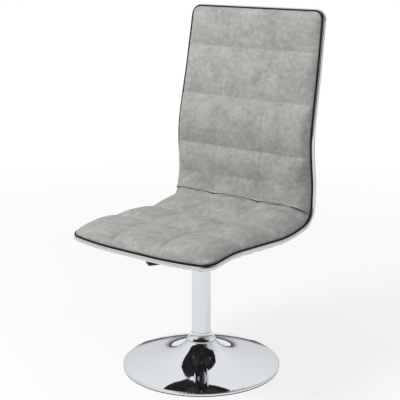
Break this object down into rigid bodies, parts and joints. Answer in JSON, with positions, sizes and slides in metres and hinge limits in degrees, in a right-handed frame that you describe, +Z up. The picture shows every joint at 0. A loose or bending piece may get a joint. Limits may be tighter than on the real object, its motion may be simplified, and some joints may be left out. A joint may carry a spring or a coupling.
{
  "type": "swivel dining chair",
  "caption": "Armless swivel dining chair: quilted one-piece seat and high back in a chromed edge band, gas lift with lever, chromed column and trumpet base.",
  "frame": {"origin": "on the floor under the axis of the column", "axes": "+Z up along the column; the seat faces -Y; +X is the sitter's left"},
  "size_m": [0.4454, 0.5111, 0.9155],
  "materials": {
    "chrome_dish": "polished chrome plate",
    "chrome_tube": "polished chrome plate",
    "chrome_collar": "chrome plated plastic",
    "chrome_band": "chrome plated trim",
    "floor_rubber": "matt black rubber",
    "bumper_rubber": "matt black rubber",
    "plain_steel": "zinc plated",
    "bright_steel": "ground and polished",
    "black_steel": "black powder coat",
    "tube_steel": "black lacquer",
    "bush_plastic": "black acetal",
    "cage_plastic": "natural nylon",
    "grip_plastic": "fine grain black",
    "plywood": "bent beech plywood",
    "stained_board": "black stained plywood",
    "seat_fabric": "mottled grey suede cloth",
    "back_fabric": "mottled grey suede cloth",
    "rear_fabric": "mottled grey suede cloth",
    "dust_cloth": "black non-woven cloth",
    "piping_cord": "black piping"
  },
  "bodies": {
    "base": {"base_dish": "chrome_dish", "base_edge_ring": "floor_rubber", "ballast_plate": "plain_steel", "column_socket": "plain_steel", "column_tube": "chrome_tube", "column_collar": "chrome_collar", "guide_bush": "bush_plastic", "thrust_washer_lower": "bright_steel"},
    "ball_cage": {"thrust_balls": "bright_steel", "ball_cage": "cage_plastic"},
    "rod": {"piston_rod": "bright_steel", "piston": "bush_plastic", "rod_clip": "plain_steel", "rod_bumper": "bumper_rubber", "thrust_washer_upper": "bright_steel"},
    "seat": {"pressure_tube": "tube_steel", "rod_guide": "bush_plastic", "valve_plug": "plain_steel", "taper_hub": "black_steel", "seat_plate": "black_steel", "mount_board": "stained_board", "tee_nuts": "plain_steel", "plate_washers": "plain_steel", "plate_bolts": "plain_steel", "lever_bracket": "black_steel", "lever_pin": "plain_steel", "shell_core": "plywood", "edge_band": "chrome_band", "front_piping": "piping_cord", "rear_piping": "piping_cord", "rear_cover": "rear_fabric", "under_cover": "dust_cloth", "seat_pad": "seat_fabric", "back_pad": "back_fabric"},
    "release_pin": {"release_pin": "bright_steel"},
    "lever": {"lever_rod": "plain_steel", "lever_grip": "grip_plastic"}
  },
  "joints": [
    {"name": "swivel", "type": "hinge", "parent": "base", "child": "rod", "pos_m": [0, 0, 0.0205], "axis": [0, 0, 1], "continuous": true},
    {"name": "cage_roll", "type": "hinge", "parent": "base", "child": "ball_cage", "pos_m": [0, 0, 0.0173], "axis": [0, 0, 1], "continuous": true},
    {"name": "height", "type": "slide", "parent": "rod", "child": "seat", "axis": [0, 0, 1], "range_m": [0, 0.11]},
    {"name": "lever_lift", "type": "hinge", "parent": "seat", "child": "lever", "pos_m": [-0.01651, -0.02505, 0.341], "axis": [-0.8348, 0.5505, 0], "range_deg": [0, 5], "stiffness_Nm_per_rad": 4, "springref_deg": -2.86},
    {"name": "pin_press", "type": "slide", "parent": "seat", "child": "release_pin", "axis": [0, 0, -1], "range_m": [0, 0.003]}
  ],
  "couplings": [
    {"joint": "cage_roll", "follows": "swivel", "ratio": 0.5},
    {"joint": "pin_press", "follows": "lever_lift", "m_per_rad": 0.031}
  ]
}
